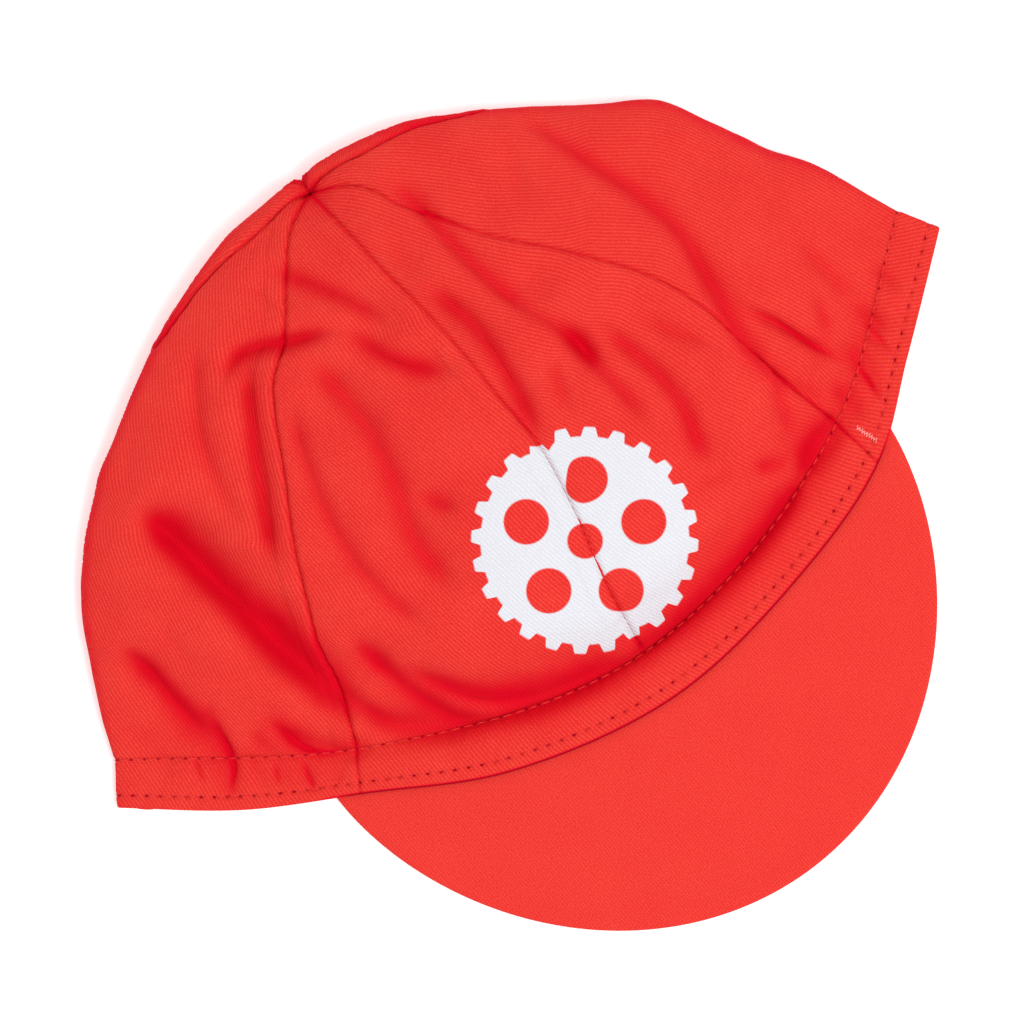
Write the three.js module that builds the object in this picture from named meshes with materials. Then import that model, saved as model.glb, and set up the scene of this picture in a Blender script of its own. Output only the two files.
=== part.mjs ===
// A soft cotton cycling cap, lying on its back as it was put down, with its front up.
// Six sewn panels meet at the apex. Their hem is a stitched band in front, over the root of a short
// stiff peak, and a casing gathered by elastic behind. The crown is hollow and open at the hem.
// Millimetres, +Z up. The peak points to -Y and the apex to +Y, and the cap rests on Z = 0.
// "Left" and "right" are as seen from above with the peak nearest.
import * as THREE from "three";

// Sizes of the whole cap
const hemWidth = 250; // between the two folded corners of the hem
const crownHeight = 102.5; // top of the crown's outline above the line through those corners
const hemDrop = 57.3; // middle of the front hem below that line
const peakWidth = 166;
const peakReach = 54.5; // the peak's tip beyond the front hem
const peakOffset = 3.7; // the peak's middle to the right of the hem's middle
const tipOffset = 1.2; // its tip still further to the right
const rearSag = 8; // middle of the rear hem below the line through the corners

// Heights above the floor
const crownLoft = 21; // how far the front puffs up above the crown's folded edge
const edgeHeight = 9; // the folded edge's middle above the floor, half way up the crown
const footLoft = 6; // how much more the front stands up right above the band, where it starts steeply
const peakArch = 3.5; // rise of the peak's middle above its two sides
const cornerLoop = 2.2; // rise of the band's upper layer beside its folded corners

// Cloth, gaps and seams
const clothWall = 1.2;
const bandWall = 2.2; // the turned hem, with the elastic or the peak's allowance in it
const peakWall = 2.4; // stiffener between two cloths
const bandWidth = 13.4;
const seamGap = 0.3;
const peakTuck = 8; // how far the peak's root runs up under the band
const apexHole = 2.8; // radius left open where the six seams meet

// Facets
const crownRows = 25;
const rowCrowding = 0.3; // how much closer the rows stand at the band and at the apex
const edgeCrowding = 4; // how much closer the facets stand at the folded edge
const edgeSpread = 0.07;

const halfWidth = hemWidth / 2;
// Shares of the way from the band to the apex (rise), round the cap (round) or along a fold
const shares = {
  apexLift: 0.16, // rise over which the lower side lifts off the floor by the apex
  hemRise: 0.03, // rise over which the crown's lower cloth comes down from the band's middle
  footRise: 0.023, // rise over which the front reaches the foot's loft, and the one over which it ends
  footFade: 0.165,
  footStart: [-0.53, -0.36], // round over which the foot grows from the left seam, and fades to the right
  footEnd: [0.44, 0.6],
  sideSeam: 0.57, // round at the left and right seams
  foldTaper: 0.15, // part of a fold's length over which each end dies out
};
const floorLayer = (rise) =>
  clothWall / 2 + (bandWall / 2 - clothWall / 2) * Math.max(0, 1 - rise / shares.hemRise);
const bandOnPeak = peakWall + seamGap + bandWall / 2;
const cornerHeight = bandWall * 1.5; // middle of the band's folded corners
const colours = { cloth: 0xee3124, peak: 0xf03a2b };

// Places on the lying cap are shares: across of half the hem's width, and up of the crown's height
// above the line through the corners, or of the hem's drop below it.
const place = ([across, up]) =>
  new THREE.Vector3(across * halfWidth, up * (up > 0 ? crownHeight : hemDrop), 0);

const apexPlace = [0.016, 0.946];

// The lines that run from the band's upper stitches to the apex: the folded edges and the seams.
const lines = {
  leftEdge: [
    [-0.948, 0.1], [-0.884, 0.3], [-0.794, 0.498], [-0.64, 0.686], [-0.4, 0.862],
    [-0.24, 0.955], [-0.08, 0.998], [-0.008, 0.992], apexPlace,
  ],
  leftSeam: [
    [-0.544, -0.384], [-0.504, -0.14], [-0.48, 0.058], [-0.424, 0.234], [-0.344, 0.43],
    [-0.264, 0.615], [-0.192, 0.693], [-0.12, 0.81], [-0.056, 0.902], apexPlace,
  ],
  frontSeam: [
    [0.034, -0.763], [0.048, -0.436], [0.08, -0.087], [0.098, 0.137], [0.088, 0.293],
    [0.072, 0.507], [0.048, 0.683], [0.028, 0.849], apexPlace,
  ],
  rightSeam: [
    [0.608, -0.428], [0.572, -0.175], [0.544, 0.03], [0.52, 0.176], [0.472, 0.302],
    [0.368, 0.463], [0.248, 0.624], [0.16, 0.78], [0.096, 0.898], apexPlace,
  ],
  rightEdge: [
    [0.948, 0.094], [0.862, 0.302], [0.806, 0.395], [0.728, 0.556], [0.684, 0.639],
    [0.556, 0.746], [0.4, 0.867], [0.24, 0.955], [0.096, 0.998], [0.04, 0.992], apexPlace,
  ],
  rearSeam: [[0.024, 0.05], [0.024, 0.45], [0.02, 0.85], [0.016, 0.99], apexPlace],
};

// The hem's lower edge, from the left corner round the front to the right corner.
const frontHem = [
  [-1, 0], [-0.8, -0.32], [-0.584, -0.565], [-0.32, -0.855], [0.034, -1],
  [0.384, -0.88], [0.632, -0.68], [0.8, -0.375], [1, 0],
];

// Where the two rear seams run: round is 0 at the front seam, 1 at the folded edge and 2 at the rear
// seam, and rise is 0 at the band and 1 at the apex.
const rearSeams = {
  left: { rise: [0, 0.3, 0.5, 0.64, 0.8, 0.9, 1], round: [1.25, 1.17, 1.08, 1, 0.945, 0.85, 0.77] },
  right: { rise: [0, 0.3, 0.5, 0.67, 0.8, 0.9, 1], round: [1.28, 1.2, 1.1, 1, 0.97, 0.9, 0.8] },
};

// How high the crown stands from the band to the apex: the edge as a share of edgeHeight, and the
// puff of the front above it as a share of crownLoft.
const profile = {
  rise: [0, 0.05, 0.11, 0.2, 0.4, 0.6, 0.8, 0.92, 1],
  edge: [cornerHeight / edgeHeight, 0.45, 0.55, 0.68, 0.85, 1, 1.1, 1.2, 1.35],
  puff: [0, 0.24, 0.6, 0.82, 1, 1, 0.76, 0.43, 0],
};
const puffRoundness = 2.4;

// The folds of the upper side, as valleys from one place through another to a third. A fold's depth is
// a share of crownLoft and its width a share of crownHeight.
const folds = [
  // name, from, by, to, depth, width
  ["deep fold of the left side", [-0.616, 0.56], [-0.568, 0.19], [-0.466, -0.37], 0.4, 0.095],
  ["small fold by the left corner", [-0.816, 0.32], [-0.778, 0.13], [-0.784, -0.09], 0.19, 0.03],
  ["crease beside the left seam", [-0.304, 0.64], [-0.39, 0.44], [-0.464, 0.24], 0.18, 0.032],
  ["crease across the left seam", [-0.336, 0.69], [-0.21, 0.695], [-0.08, 0.634], 0.17, 0.028],
  ["tail of that crease", [-0.088, 0.634], [-0.036, 0.48], [0.048, 0.4], 0.13, 0.036],
  ["high fold of the left side", [-0.352, 0.8], [-0.44, 0.59], [-0.464, 0.37], 0.1, 0.042],
  ["long fold of the left front", [-0.176, 0.59], [-0.16, 0.31], [-0.216, 0.02], 0.15, 0.048],
  ["spur above the band", [-0.416, 0], [-0.392, -0.24], [-0.352, -0.54], 0.19, 0.036],
  ["hollow beside the front seam", [0.096, 0.576], [0.126, 0.35], [0.108, 0.13], 0.18, 0.03],
  ["long fold of the right front", [0.136, 0.8], [0.212, 0.47], [0.308, 0.01], 0.22, 0.04],
  ["low fold of the right front", [0.328, 0.29], [0.376, 0.08], [0.336, -0.35], 0.13, 0.036],
  ["long fold of the right side", [0.44, 0.8], [0.544, 0.44], [0.544, 0.1], 0.2, 0.045],
  ["tuck into the right casing", [0.576, 0.127], [0.64, -0.02], [0.708, -0.27], 0.1, 0.028],
  ["blunt fold by the right seam", [0.496, -0.5], [0.56, -0.46], [0.616, -0.37], 0.12, 0.024],
];
const foldSteps = 14;

// Values between the knots of a table, on the smooth curve through them.
function through(knots, values, x) {
  const last = knots.length - 1;
  let k = 0;
  while (k < last - 1 && x > knots[k + 1]) k++;
  const chord = (i) => (values[i + 1] - values[i]) / (knots[i + 1] - knots[i]);
  const slope = (i) => {
    if (i === 0) return chord(0);
    if (i === last) return chord(last - 1);
    const share = (knots[i + 1] - knots[i]) / (knots[i + 1] - knots[i - 1]);
    return chord(i - 1) * share + chord(i) * (1 - share);
  };
  const width = knots[k + 1] - knots[k];
  const u = (x - knots[k]) / width;
  const v = 1 - u;
  return (
    values[k] * v * v * (1 + 2 * u) + slope(k) * width * u * v * v +
    values[k + 1] * u * u * (1 + 2 * v) - slope(k + 1) * width * v * u * u
  );
}

// The point of the smooth curve through several points of the plan.
const planThrough = (knots, points, x) => [
  through(knots, points.map((p) => p[0]), x),
  through(knots, points.map((p) => p[1]), x),
];

// A line of the plan that can be asked for the point at a share of its own length.
function route(places) {
  const curve = new THREE.CatmullRomCurve3(places.map(place), false, "centripetal");
  return (share) => {
    const p = curve.getPointAt(Math.min(Math.max(share, 0), 1));
    return [p.x, p.y];
  };
}
const along = Object.fromEntries(Object.entries(lines).map(([name, places]) => [name, route(places)]));
const alongFrontHem = route(frontHem);

// How far the folds press the upper side down at a place of the plan.
const foldRoutes = folds.map(([, from, by, to, depth, width]) => {
  const curve = new THREE.QuadraticBezierCurve3(place(from), place(by), place(to));
  curve.v1.multiplyScalar(2).addScaledVector(curve.v0, -0.5).addScaledVector(curve.v2, -0.5);
  return { points: curve.getPoints(foldSteps), depth: depth * crownLoft, width: width * crownHeight };
});

function foldDepth(x, y) {
  let total = 0;
  for (const { points, depth, width } of foldRoutes) {
    let nearest = Infinity;
    let share = 0;
    for (let i = 0; i < foldSteps; i++) {
      const a = points[i];
      const b = points[i + 1];
      const dx = b.x - a.x;
      const dy = b.y - a.y;
      const u = THREE.MathUtils.clamp(((x - a.x) * dx + (y - a.y) * dy) / (dx * dx + dy * dy), 0, 1);
      const distance = Math.hypot(x - a.x - u * dx, y - a.y - u * dy);
      if (distance < nearest) {
        nearest = distance;
        share = (i + u) / foldSteps;
      }
    }
    const taper = THREE.MathUtils.smoothstep(Math.min(share, 1 - share), 0, shares.foldTaper);
    total += (depth * taper * Math.exp(-((nearest / width) ** 2))) ** 3;
  }
  return Math.cbrt(total); // near the depth of the deepest, so that folds that meet don't add up
}

// How much more the front panels stand up right above the band.
function footHeight(round, rise) {
  const strength =
    THREE.MathUtils.smoothstep(round, ...shares.footStart) -
    THREE.MathUtils.smoothstep(round, ...shares.footEnd);
  return footLoft * strength * (1 - Math.exp(-rise / shares.footRise)) * Math.exp(-rise / shares.footFade);
}

// The peak's rise across its width, and the band's middle layer on it.
const archAt = (x) => peakArch * Math.max(0, 1 - ((x - peakOffset) / (peakWidth / 2)) ** 2);
const softEnd = (round) => Math.sqrt(Math.max(0, 1 - Math.abs(round) ** 12));
function bandRise(x, round) {
  const onPeak = bandOnPeak + archAt(x) - cornerHeight;
  const share = THREE.MathUtils.smoothstep(1 - Math.abs(round), 0.1, 1 - shares.sideSeam);
  return (cornerLoop + (onPeak - cornerLoop) * share) * softEnd(round);
}

// Height of the lower side, which turns up in a quarter circle into the nearer of the folded edges
// and, by the apex, lifts off the floor altogether.
function lowerHeight(plan, edges, edgeZ, rise) {
  const radius = edgeZ - floorLayer(rise);
  const inset = Math.min(radius, ...edges.map(([x, y]) => Math.hypot(plan[0] - x, plan[1] - y)));
  const drop = Math.sqrt(radius ** 2 - (radius - inset) ** 2);
  return edgeZ - drop * (1 - THREE.MathUtils.smoothstep(rise, 1 - shares.apexLift, 1));
}

// The middle of the crown's cloth. round runs from 0 at the front seam over 1 at the folded edge to 2
// at the rear seam, negative on the left, and rise from 0 at the band to 1 at the apex.
function crownPoint(round, rise) {
  const left = along.leftEdge(rise);
  const right = along.rightEdge(rise);
  const edgeZ = edgeHeight * through(profile.rise, profile.edge, rise);
  if (Math.abs(round) > 1) {
    const across = Math.sign(round) * (2 - Math.abs(round));
    const plan = planThrough([-1, 0, 1], [left, along.rearSeam(rise), right], across);
    return new THREE.Vector3(...plan, lowerHeight(plan, [left, right], edgeZ, rise));
  }
  const plan = planThrough(
    [-1, -shares.sideSeam, 0, shares.sideSeam, 1],
    [left, along.leftSeam(rise), along.frontSeam(rise), along.rightSeam(rise), right],
    round,
  );
  const puff = crownLoft * through(profile.rise, profile.puff, rise);
  const arc = Math.sqrt(1 - Math.abs(round) ** puffRoundness);
  const fade = Math.min(1, rise / 0.04) * Math.min(1, (1 - rise) / 0.1) * softEnd(round);
  const smooth = edgeZ + puff * arc + bandRise(plan[0], round) * (1 - rise) ** 6;
  const height = smooth + footHeight(round, rise) - foldDepth(...plan) * fade;
  return new THREE.Vector3(...plan, Math.max(height, bandOnPeak));
}

// The middle of the hem's band and casing. up runs from 0 at the hem's edge to 1 at the crown.
function bandPoint(round, up) {
  const crown = crownPoint(round, 0);
  if (Math.abs(round) > 1) {
    const side = Math.sign(round);
    const across = side * (2 - Math.abs(round));
    const hem = planThrough([-1, 0, 1], [[-halfWidth, 0], [0, -rearSag], [halfWidth, 0]], across);
    const plan = [hem[0] + (crown.x - hem[0]) * up, hem[1] + (crown.y - hem[1]) * up];
    const corner = crownPoint(side, 0);
    const edge = [side * halfWidth * (1 - up) + corner.x * up, corner.y * up];
    return new THREE.Vector3(...plan, lowerHeight(plan, [edge], cornerHeight, 0));
  }
  const hem = alongFrontHem((round + 1) / 2);
  const x = hem[0] + (crown.x - hem[0]) * up;
  const y = hem[1] + (crown.y - hem[1]) * up;
  return new THREE.Vector3(x, y, cornerHeight + bandRise(x, round));
}

function normalAt(surface, a, b) {
  const step = 0.003;
  const da = surface(a + step, b).sub(surface(a - step, b));
  const db = surface(a, Math.min(b + step, 1)).sub(surface(a, Math.max(b - step, 0)));
  return da.cross(db).normalize();
}

// A thin closed solid: a surface sampled in rows and columns, thickened to both sides. A sample is
// a place of the surface, with a normal of its own where the edges of two pieces stand parallel.
function clothSolid(surface, rows, wall) {
  const columns = rows[0].length;
  const positions = [];
  for (const side of [0.5, -0.5])
    for (const row of rows)
      for (const [a, b, normal = normalAt(surface, a, b)] of row)
        positions.push(...surface(a, b).addScaledVector(normal, side * wall).toArray());
  const layer = rows.length * columns;
  const at = (side, j, i) => side * layer + j * columns + i;
  const index = [];
  const quad = (a, b, c, d) => index.push(a, b, c, a, c, d);
  for (let j = 0; j + 1 < rows.length; j++) {
    for (let i = 0; i + 1 < columns; i++) {
      quad(at(0, j, i), at(0, j, i + 1), at(0, j + 1, i + 1), at(0, j + 1, i));
      quad(at(1, j, i), at(1, j + 1, i), at(1, j + 1, i + 1), at(1, j, i + 1));
    }
    quad(at(0, j, 0), at(0, j + 1, 0), at(1, j + 1, 0), at(1, j, 0));
    const end = columns - 1;
    quad(at(0, j, end), at(1, j, end), at(1, j + 1, end), at(0, j + 1, end));
  }
  const top = rows.length - 1;
  for (let i = 0; i + 1 < columns; i++) {
    quad(at(0, 0, i), at(1, 0, i), at(1, 0, i + 1), at(0, 0, i + 1));
    quad(at(0, top, i), at(0, top, i + 1), at(1, top, i + 1), at(1, top, i));
  }
  const geometry = new THREE.BufferGeometry();
  geometry.setAttribute("position", new THREE.Float32BufferAttribute(positions, 3));
  geometry.setIndex(index);
  geometry.computeVertexNormals();
  return geometry;
}

// Places round the cap from one to another, closer together where they pass the folded edge.
function spread(from, to, count) {
  const fine = 80;
  const density = (s) => 1 + edgeCrowding * Math.exp(-(((Math.abs(s) - 1) / edgeSpread) ** 2));
  const sums = [0];
  for (let i = 0; i < fine; i++) sums.push(sums[i] + density(from + ((to - from) * (i + 0.5)) / fine));
  return Array.from({ length: count + 1 }, (_, n) => {
    const wanted = (sums[fine] * n) / count;
    let i = 0;
    while (i < fine - 1 && sums[i + 1] < wanted) i++;
    return from + ((to - from) * (i + (wanted - sums[i]) / (sums[i + 1] - sums[i]))) / fine;
  });
}

// How much of round makes half a seam gap, square to the seam.
function halfGap(surface, seam, rise) {
  const step = 0.004;
  const before = Math.max(rise - step, 0);
  const after = Math.min(rise + step, 1);
  const across = surface(seam(rise) + step, rise).sub(surface(seam(rise) - step, rise));
  const alongSeam = surface(seam(after), after).sub(surface(seam(before), before)).normalize();
  return (seamGap * step) / across.cross(alongSeam).length();
}

const cap = new THREE.Group();
function add(name, geometry, color, roughness) {
  const mesh = new THREE.Mesh(geometry, new THREE.MeshStandardMaterial({ color, roughness }));
  mesh.name = name;
  cap.add(mesh);
}

// Panels: each lies between two seams, given as functions of rise.
const seamAt = {
  front: () => 0,
  left: () => -shares.sideSeam,
  right: () => shares.sideSeam,
  rearLeft: (rise) => -through(rearSeams.left.rise, rearSeams.left.round, rise),
  rearRight: (rise) => through(rearSeams.right.rise, rearSeams.right.round, rise),
  backFromLeft: () => -2,
  backFromRight: () => 2,
};
const panels = [
  { name: "panel_front_left", from: "left", to: "front", columns: 16 },
  { name: "panel_front_right", from: "front", to: "right", columns: 16 },
  { name: "panel_side_left", from: "rearLeft", to: "left", columns: 19 },
  { name: "panel_side_right", from: "right", to: "rearRight", columns: 19 },
  { name: "panel_back_left", from: "backFromLeft", to: "rearLeft", columns: 9 },
  { name: "panel_back_right", from: "rearRight", to: "backFromRight", columns: 9 },
];
const lowest = seamGap / crownHeight;
const highest = 1 - apexHole / (hemDrop + crownHeight - bandWidth);
const hemFacets = {};
for (const { name, from, to, columns } of panels) {
  const rows = [];
  for (let j = 0; j <= crownRows; j++) {
    const share = j / crownRows;
    const crowded = share - (rowCrowding * Math.sin(2 * Math.PI * share)) / (2 * Math.PI);
    const rise = lowest + (highest - lowest) * crowded;
    const start = seamAt[from](rise);
    const end = seamAt[to](rise);
    const inner = start + halfGap(crownPoint, seamAt[from], rise);
    const outer = end - halfGap(crownPoint, seamAt[to], rise);
    const row = spread(inner, outer, columns).map((round) => [round, rise]);
    if (j === 0) for (const sample of row) sample.push(normalAt(bandPoint, sample[0], 1));
    else {
      row[0].push(normalAt(crownPoint, start, rise));
      row[columns].push(normalAt(crownPoint, end, rise));
    }
    rows.push(row);
  }
  hemFacets[name] = rows[0].map(([round]) => round);
  add(name, clothSolid(crownPoint, rows, clothWall), colours.cloth, 0.85);
}

// The front band between the two front side seams, and the casing round the back between the same two.
// Their facets are the panels' own at the hem. The casing runs on past the rear seam, where 2 is also -2.
const hemPoint = (round, up) => bandPoint(round > 2 ? round - 4 : round, up);
const strip = (...names) => {
  const rounds = names.flatMap((name, i) => hemFacets[name].slice(i ? 1 : 0));
  const turned = rounds.map((round) => (rounds[0] > 0 && round < 0 ? round + 4 : round));
  return clothSolid(hemPoint, [0, 0.5, 1].map((up) => turned.map((round) => [round, up])), bandWall);
};
add("front_band", strip("panel_front_left", "panel_front_right"), colours.cloth, 0.85);
add(
  "rear_casing",
  strip("panel_side_right", "panel_back_right", "panel_back_left", "panel_side_left"),
  colours.cloth,
  0.85,
);

// The peak: a crescent from its root under the band to its rounded rim, arched across its width.
const peakColumns = 36;
const peakRows = 6;
const rimPower = 1.8; // how square the rim's outline is
function peakPoint(across, up) {
  const half = peakWidth / 2;
  const angle = across * (Math.PI / 2);
  const depth = Math.max(0, Math.cos(angle)) ** (2 / rimPower);
  const rimTop = -hemDrop * 0.51;
  const rim = [
    peakOffset + half * Math.sin(angle) + tipOffset * depth,
    rimTop + (-hemDrop - peakReach - rimTop) * depth,
  ];
  const hemShare = 0.5 + across * 0.315 + 0.005;
  const inner = bandPoint(hemShare * 2 - 1, peakTuck / bandWidth);
  const root = [inner.x, inner.y];
  const x = rim[0] + (root[0] - rim[0]) * up;
  const y = rim[1] + (root[1] - rim[1]) * up;
  return new THREE.Vector3(x, y, archAt(x) + peakWall / 2);
}
const peakGrid = Array.from({ length: peakRows + 1 }, (_, j) =>
  Array.from({ length: peakColumns + 1 }, (_, i) => [-1 + (2 * i) / peakColumns, j / peakRows]),
);
add("peak", clothSolid(peakPoint, peakGrid, peakWall), colours.peak, 0.8);

// The frame's origin is under the middle of the cap.
const middle = new THREE.Box3().setFromObject(cap).getCenter(new THREE.Vector3());
cap.position.set(-middle.x, -middle.y, 0);

export default cap;
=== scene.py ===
import math

import bpy
import numpy as np
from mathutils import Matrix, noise


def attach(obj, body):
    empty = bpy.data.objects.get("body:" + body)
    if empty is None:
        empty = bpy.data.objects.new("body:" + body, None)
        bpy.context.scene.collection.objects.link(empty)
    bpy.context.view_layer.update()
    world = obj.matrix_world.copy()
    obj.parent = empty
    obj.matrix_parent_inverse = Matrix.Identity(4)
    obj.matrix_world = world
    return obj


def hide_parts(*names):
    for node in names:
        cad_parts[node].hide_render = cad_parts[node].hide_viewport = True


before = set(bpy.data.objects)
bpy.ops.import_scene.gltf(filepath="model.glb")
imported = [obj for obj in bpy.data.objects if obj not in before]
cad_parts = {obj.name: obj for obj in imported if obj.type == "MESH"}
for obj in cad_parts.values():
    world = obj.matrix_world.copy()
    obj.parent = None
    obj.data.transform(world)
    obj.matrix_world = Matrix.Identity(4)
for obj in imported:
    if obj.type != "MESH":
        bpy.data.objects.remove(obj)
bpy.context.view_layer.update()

# Studio
# The cap lies on a plain white table, under one broad soft light on its right and a pale room.
# The camera hangs straight above it and is turned, so that the peak points down and to the right.
CAMERA_TURN = math.radians(-35.21)
CAMERA_HEIGHT = 2.0
VIEW_WIDTH = 0.2545
VIEW_CENTRE = (-0.0023, 0.0081)
OUTLINE_HEIGHT = 0.006  # height at which the view is as wide as stated
SENSOR = 36


def new_object(name, data):
    made = bpy.data.objects.new(name, data)
    bpy.context.scene.collection.objects.link(made)
    return made


camera_data = bpy.data.cameras.new("camera")
camera_data.sensor_width = SENSOR
camera_data.lens = SENSOR * CAMERA_HEIGHT / VIEW_WIDTH
camera_data.clip_end = 20
camera = new_object("camera", camera_data)
camera.location = (*VIEW_CENTRE, CAMERA_HEIGHT + OUTLINE_HEIGHT)
camera.rotation_euler = (0, 0, CAMERA_TURN)
bpy.context.scene.camera = camera
bpy.context.scene.view_settings.view_transform = "Standard"

ROOM_LIGHT = 0.95
KEY_POWER = 12.5
KEY_SIZE = 0.6
KEY_PLACE = (0.28, -0.44, 1.5)

world = bpy.data.worlds.new("pale_room")
world.use_nodes = True
world.node_tree.nodes["Background"].inputs["Color"].default_value = (1, 1, 1, 1)
world.node_tree.nodes["Background"].inputs["Strength"].default_value = ROOM_LIGHT
bpy.context.scene.world = world

key_data = bpy.data.lights.new("key", "AREA")
key_data.energy = KEY_POWER
key_data.size = KEY_SIZE
key = new_object("key", key_data)
key.location = KEY_PLACE
facing = np.array(KEY_PLACE)
key.rotation_euler = (
    math.acos(facing[2] / np.linalg.norm(facing)),
    0,
    math.atan2(facing[1], facing[0]) + math.pi / 2,
)


class Shade:
    """A number, vector or colour inside a material, on which plain arithmetic adds nodes."""

    def __init__(self, socket):
        self.socket = socket

    def node(self, kind, inputs, output=0, **settings):
        made = self.socket.id_data.nodes.new(kind)
        for name, value in settings.items():
            setattr(made, name, value)
        for name, value in inputs.items():
            if isinstance(value, Shade):
                self.socket.id_data.links.new(value.socket, made.inputs[name])
            else:
                made.inputs[name].default_value = value
        return Shade(made.outputs[output])

    def math(self, operation, *values):
        return self.node("ShaderNodeMath", dict(enumerate(values)), operation=operation)

    def __add__(self, other):
        return self.math("ADD", self, other)

    __radd__ = __add__

    def __sub__(self, other):
        return self.math("SUBTRACT", self, other)

    def __rsub__(self, other):
        return self.math("SUBTRACT", other, self)

    def __mul__(self, other):
        return self.math("MULTIPLY", self, other)

    __rmul__ = __mul__

    def __truediv__(self, other):
        return self.math("DIVIDE", self, other)

    def __rtruediv__(self, other):
        return self.math("DIVIDE", other, self)

    def __pow__(self, other):
        return self.math("POWER", self, other)

    def part(self, axis):
        """The X, Y or Z of a vector."""
        return self.node("ShaderNodeSeparateXYZ", {"Vector": self}, output=axis)

    def noise(self, scale, detail=2.0):
        """Smooth noise read at this place."""
        inputs = {"Vector": self, "Scale": scale, "Detail": detail}
        return self.node("ShaderNodeTexNoise", inputs, output="Fac")

    def bump(self, strength, depth):
        """The surface's normal, tilted as if this were its height."""
        inputs = {"Height": self, "Strength": strength, "Distance": depth}
        return self.node("ShaderNodeBump", inputs, output="Normal")

    def wave(self):
        """From 0 to 1 and back, once for every whole number."""
        return self.math("COSINE", self * (2 * math.pi)) * -0.5 + 0.5

    def step(self, low, high):
        """0 below low and 1 above high, and smooth between them."""
        inputs = {"Value": self, "From Min": low, "From Max": high}
        return self.node("ShaderNodeMapRange", inputs, interpolation_type="SMOOTHSTEP")

    def blend(self, under, over):
        """The colour under where this is 0, and over where it is 1."""
        inputs = {"Factor": self, 6: under, 7: over}
        return self.node("ShaderNodeMix", inputs, output=2, data_type="RGBA")


def new_material(name):
    """A material, its Principled shader, and a Shade from which others are made."""
    made = bpy.data.materials.new(name)
    made.use_nodes = True
    nodes = made.node_tree.nodes
    place = nodes.new("ShaderNodeTexCoord")
    return made, nodes["Principled BSDF"], Shade(place.outputs["Object"])


def connect(value, socket):
    value.socket.id_data.links.new(value.socket, socket)


TABLE_WHITE = (0.97, 0.97, 0.97, 1)
TABLE_GLOW = 0.2  # makes the table plain white, as the photograph's ground is
TABLE_ROUGHNESS = 0.82
TABLE_GRAIN = 0.06
TABLE_REACH = 6.0

table_material, table_shader, table_place = new_material("white_table")
table_shader.inputs["Base Color"].default_value = TABLE_WHITE
table_shader.inputs["Specular IOR Level"].default_value = 0.0
table_shader.inputs["Emission Color"].default_value = (1, 1, 1, 1)
table_shader.inputs["Emission Strength"].default_value = TABLE_GLOW
connect(table_place.noise(900.0) * TABLE_GRAIN + TABLE_ROUGHNESS, table_shader.inputs["Roughness"])
table_mesh = bpy.data.meshes.new("table")
corners = [(-1, -1), (1, -1), (1, 1), (-1, 1)]
table_mesh.from_pydata([(TABLE_REACH * x, TABLE_REACH * y, 0) for x, y in corners], [], [(0, 1, 2, 3)])
table_mesh.materials.append(table_material)
table = new_object("table", table_mesh)

# Crown
# Six panels of cotton twill, sewn edge to edge from the hem to the apex. The cap lies on its back:
# the front panels puff up, the side panels turn under at the two folded edges, and the back panels
# lie beneath. Its slack cloth has fallen into long folds that run from the hem towards the apex.
MM = 0.001
HEM_LINE = (0.293, 4.431)  # the middle of the line between the hem's corners, in the frame
HALF_WIDTH = 125.0
HEM_DROP = 57.3
REAR_SAG = 8.0
CROWN_LOFT = 21.0
EDGE_HEIGHT = 9.0
CLOTH_WALL = 1.2
BAND_WALL = 2.2
BAND_WIDTH = 13.4
PEAK_WALL = 2.4
PEAK_WIDTH = 166.0
PEAK_OFFSET = 3.7
PEAK_ARCH = 3.5
CORNER_LOOP = 2.2
CORNER_HEIGHT = BAND_WALL * 1.5
BAND_GAP = 0.3
BAND_ON_PEAK = PEAK_WALL + BAND_GAP + BAND_WALL / 2
APEX_LIFT = 0.16
HEM_RISE = 0.03
SIDE_SEAM = 0.57
APEX = (2.0, 97.0)

LINES = {  # plan of the folded edges and the seams, from the hem's upper stitches to the apex
    "left_edge": [
        (-118.5, 10.2), (-110.5, 30.8), (-99.2, 51), (-80, 70.3), (-50, 88.4), (-30, 97.4),
        (-10, 101.4), (-1, 100.8), APEX,
    ],
    "left_seam": [
        (-68, -22), (-63, -8), (-60, 6), (-53, 24), (-43, 44.1), (-33, 63), (-24, 71), (-15, 83),
        (-7, 92.5), APEX,
    ],
    "front_seam": [
        (4.2, -43.7), (6, -25), (10, -5), (12.2, 14), (11, 30), (9, 52), (6, 70), (3.5, 87), APEX,
    ],
    "right_seam": [
        (76, -24.5), (71.5, -10), (68, 3.1), (65, 18), (59, 31), (46, 47.5), (31, 64), (20, 80),
        (12, 92), APEX,
    ],
    "right_edge": [
        (118.5, 9.6), (107.8, 31), (100.8, 40.5), (92, 56), (87.6, 63.5), (83.5, 67.5), (69.5, 76.2),
        (50, 88.6), (30, 97.4), (12, 101.4), (5, 100.8), APEX,
    ],
    "rear_seam": [(3, 5.1), (3, 46.1), (2.5, 87.1), (2, 101.5), APEX],
}
FRONT_HEM = [
    (-125, 0), (-100, -18.3), (-73, -32.4), (-40, -49), (4.2, -57.3), (48, -50.4), (79, -39),
    (100, -21.5), (125, 0),
]
REAR_SEAMS = {  # where the rear seams of the two sides run, as rise and round
    "left": ([0, 0.3, 0.5, 0.64, 0.8, 0.9, 1], [1.25, 1.17, 1.08, 1, 0.945, 0.85, 0.77]),
    "right": ([0, 0.3, 0.5, 0.67, 0.8, 0.9, 1], [1.28, 1.2, 1.1, 1, 0.97, 0.9, 0.8]),
}
PROFILE_RISE = [0, 0.05, 0.11, 0.2, 0.4, 0.6, 0.8, 0.92, 1]
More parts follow.
